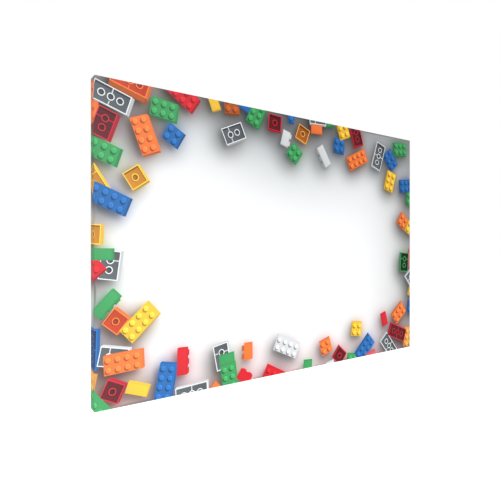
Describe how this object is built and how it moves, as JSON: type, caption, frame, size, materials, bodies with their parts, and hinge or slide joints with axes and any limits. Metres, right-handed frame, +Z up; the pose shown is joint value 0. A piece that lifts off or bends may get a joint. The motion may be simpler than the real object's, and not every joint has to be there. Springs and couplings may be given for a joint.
{
  "type": "printed canvas pin board",
  "caption": "Wall pin board: cork on a mitred pine frame, wrapped in canvas printed with studded toy bricks round a blank middle, hung from D-rings.",
  "frame": {"origin": "midway between the two wall hooks, on the wall plane, at the height where the hooks bear in the raised rings", "axes": "+X along the board's width to the right as seen from the front, +Y into the wall, +Z up; the printed face looks towards -Y"},
  "size_m": [0.9, 0.0295, 0.6],
  "materials": {
    "printed_canvas": "satin print on a fine canvas weave, white in the middle with coloured toy bricks round the border",
    "cork": "fine agglomerated cork, matt",
    "fibreboard": "brown hardboard with a screen-textured back",
    "pine": "planed, unfinished pine",
    "plywood": "birch plywood",
    "beech": "turned beech",
    "bright_steel": "bright drawn wire",
    "galvanised_wire": "galvanised flat wire",
    "zinc_plate": "bright zinc plated strip",
    "zinc_screw": "bright zinc plated",
    "ring_steel": "bright zinc plated wire",
    "bumper_rubber": "matt black rubber"
  },
  "bodies": {
    "board": {"printed_cover": "printed_canvas", "cork_sheet": "cork", "backing_panel": "fibreboard", "top_bar": "pine", "bottom_bar": "pine", "left_bar": "pine", "right_bar": "pine", "centre_brace": "pine", "corner_keys": "plywood", "brace_dowels": "beech", "panel_pins": "bright_steel", "cover_staples": "galvanised_wire", "left_hanger_strap": "zinc_plate", "right_hanger_strap": "zinc_plate", "left_hanger_screws": "zinc_screw", "right_hanger_screws": "zinc_screw", "upper_left_bumper": "bumper_rubber", "upper_right_bumper": "bumper_rubber", "lower_left_bumper": "bumper_rubber", "lower_right_bumper": "bumper_rubber"},
    "left_ring": {"left_ring": "ring_steel"},
    "right_ring": {"right_ring": "ring_steel"}
  },
  "joints": [
    {"name": "left_ring_swing", "type": "hinge", "parent": "board", "child": "left_ring", "pos_m": [-0.415, -0.00342, -0.014], "axis": [-1, 0, 0], "range_deg": [-3, 172]},
    {"name": "right_ring_swing", "type": "hinge", "parent": "board", "child": "right_ring", "pos_m": [0.415, -0.00342, -0.014], "axis": [-1, 0, 0], "range_deg": [-3, 172]}
  ]
}
